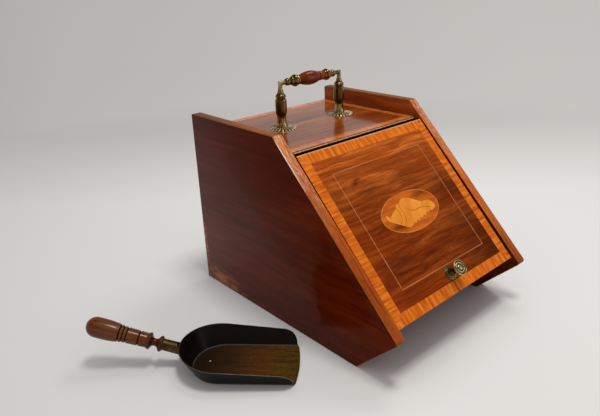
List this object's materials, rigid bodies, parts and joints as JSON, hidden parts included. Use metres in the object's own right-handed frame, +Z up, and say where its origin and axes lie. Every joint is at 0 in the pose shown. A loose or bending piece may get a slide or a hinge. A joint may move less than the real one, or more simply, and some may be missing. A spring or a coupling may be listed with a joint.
{
  "type": "coal scuttle",
  "caption": "Slope-front wooden coal scuttle with a hinged inlaid lid, a brass carrying handle, a sheet-iron liner and a bracket for its shovel, with the shovel standing beside it.",
  "frame": {"origin": "centre of the base of the side panels, on the floor", "axes": "+Z up, the sloping lid faces -Y, +X to the right as seen from in front of the lid; the shovel stands on the floor on the -X side"},
  "size_m": [0.6308, 0.5028, 0.3861],
  "materials": {
    "mahogany": "polished, dark, with wear along the lower edges",
    "mahogany_veneer": "polished figured veneer",
    "satinwood": "polished cross-grain banding",
    "boxwood": "polished pale line",
    "oval_wood": "polished amber ground",
    "shell_wood": "polished, scorched along its lines",
    "plain_wood": "bare planed softwood",
    "turned_wood": "turned and polished",
    "brass": "antique, darkened in its hollows",
    "japanned_iron": "glossy black, worn brown on the floor of the pan",
    "sheet_iron": "dull black, dusty",
    "iron_rod": "dull"
  },
  "bodies": {
    "case": {"left_side_panel": "mahogany", "right_side_panel": "mahogany", "top_board": "mahogany", "top_veneer": "mahogany_veneer", "top_crossbanding": "satinwood", "back_panel": "mahogany", "bottom_board": "plain_wood", "toe_board": "mahogany", "lid_rests": "plain_wood", "glue_blocks": "plain_wood", "liner": "sheet_iron", "liner_ends": "sheet_iron", "hinge_fixed_leaf": "brass", "hinge_pin": "brass", "hinge_fixed_screws": "brass", "left_rosette": "brass", "right_rosette": "brass", "left_post": "brass", "right_post": "brass", "left_elbow": "brass", "right_elbow": "brass", "grip": "turned_wood", "grip_rod": "iron_rod", "handle_washers": "brass", "handle_nuts": "brass", "shovel_bracket": "brass", "bracket_screws": "brass"},
    "lid": {"lid_board": "mahogany", "lid_veneer": "mahogany_veneer", "lid_crossbanding": "satinwood", "lid_stringing": "boxwood", "lid_oval_border": "boxwood", "lid_oval_ground": "oval_wood", "lid_shell": "shell_wood", "hinge_moving_leaf": "brass", "hinge_moving_screws": "brass", "knob_rose": "brass", "lid_knob": "brass", "knob_screw": "brass"},
    "shovel": {"shovel_pan": "japanned_iron", "shovel_plate": "japanned_iron", "shovel_socket": "brass", "shovel_rivets": "japanned_iron", "shovel_handle": "turned_wood", "shovel_tang": "iron_rod"}
  },
  "joints": [
    {"name": "lid_hinge", "type": "hinge", "parent": "case", "child": "lid", "pos_m": [0, -0.04207, 0.2921], "axis": [-1, 0, 0], "range_deg": [0, 150]},
    {"name": "shovel_lift", "type": "slide", "parent": "case", "child": "shovel", "axis": [0, 0, 1], "range_m": [0, 0.42]}
  ]
}
